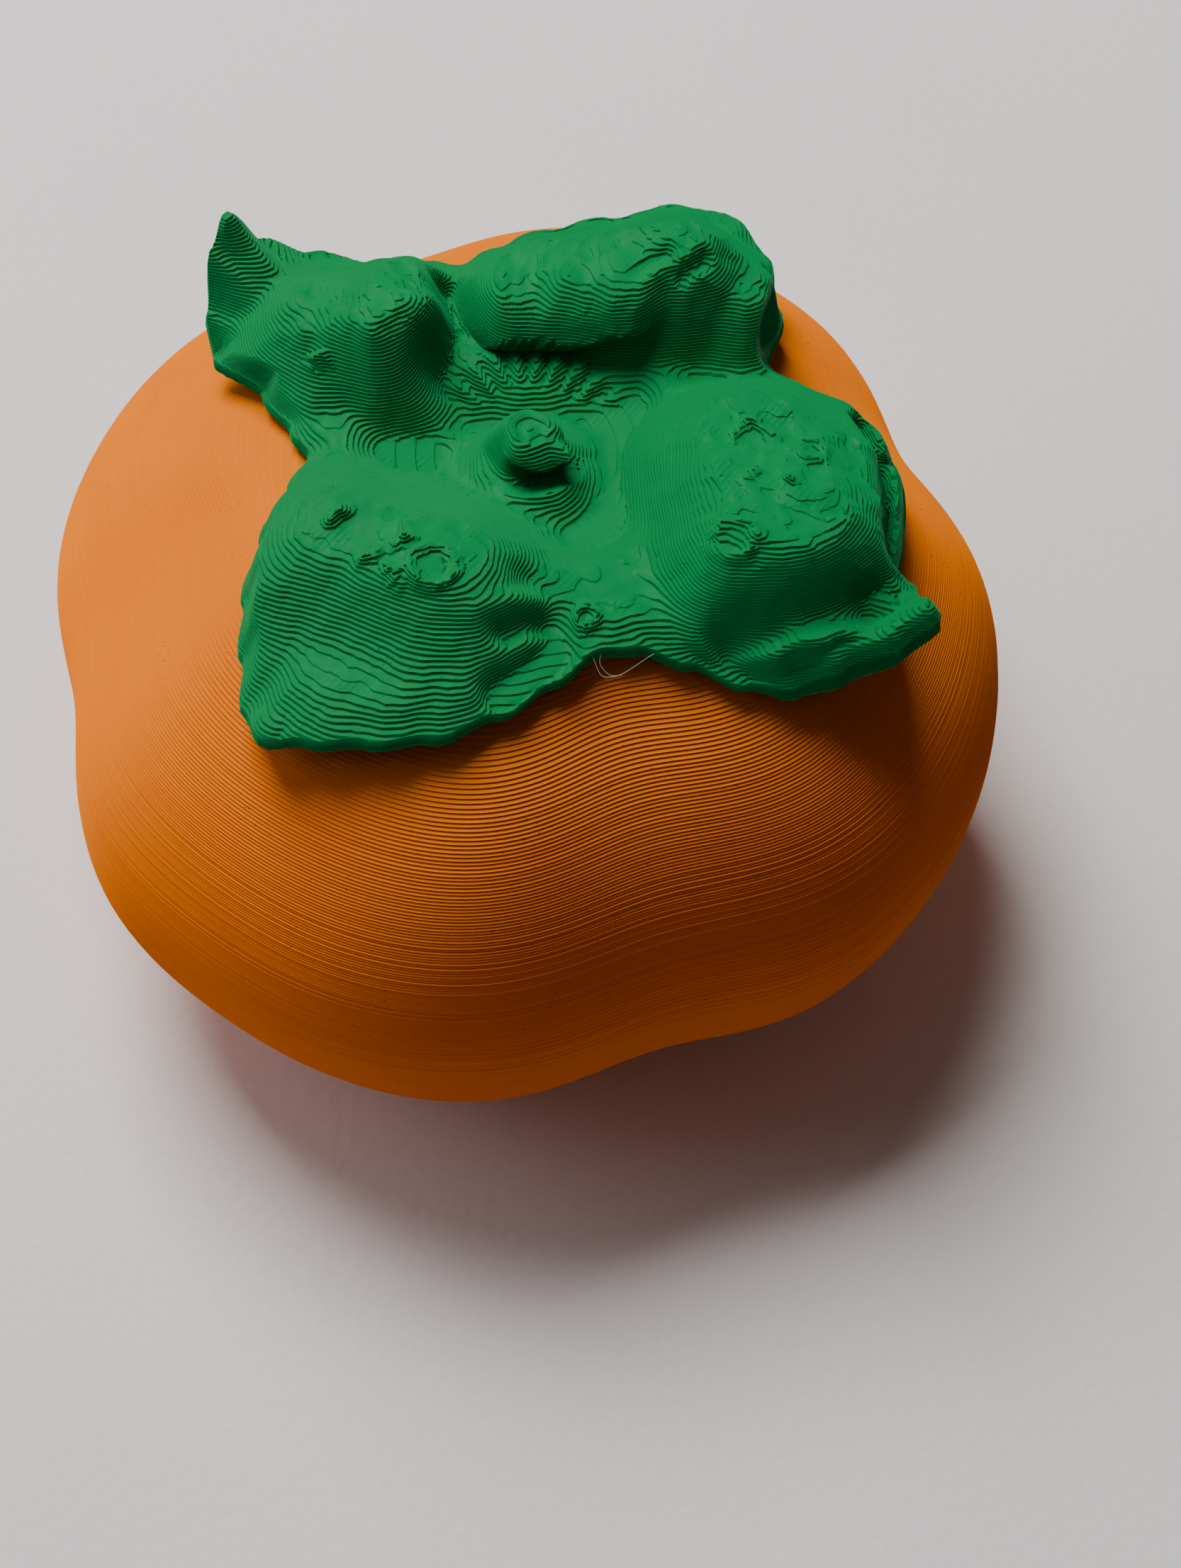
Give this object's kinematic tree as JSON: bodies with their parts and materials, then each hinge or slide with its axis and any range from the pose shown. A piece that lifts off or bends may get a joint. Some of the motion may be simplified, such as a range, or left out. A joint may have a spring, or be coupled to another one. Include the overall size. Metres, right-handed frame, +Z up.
{
  "type": "pin pot",
  "caption": "Lobed fruit-shaped shell with a leafy lift-off lid and stem, holding a soft gathered fabric pad that takes pins and needles.",
  "frame": {"origin": "middle of the flat base, on the surface that the pot stands on", "axes": "+Z up through the stem; -Y towards the side of the fruit whose furrow shows below the front leaves; +X to the right of it"},
  "size_m": [0.0701, 0.0701, 0.0492],
  "materials": {
    "orange_pla": "orange PLA printed in fine layers, satin sheen",
    "green_pla": "green PLA printed in fine layers, satin sheen with small drips and strings",
    "cotton_cover": "natural plain-weave cotton, matt",
    "wool_filling": "loose wool stuffing",
    "grey_card": "grey-brown bookbinding card",
    "cotton_thread": "twisted cotton sewing thread"
  },
  "bodies": {
    "fruit": {"fruit_shell": "orange_pla", "pad_cover": "cotton_cover", "pad_filling": "wool_filling", "pad_base": "grey_card", "gather_thread": "cotton_thread"},
    "lid": {"calyx_lid": "green_pla"}
  },
  "joints": [
    {"name": "lid_lift", "type": "slide", "parent": "fruit", "child": "lid", "axis": [0, 0, 1], "range_m": [0, 0.06]}
  ]
}
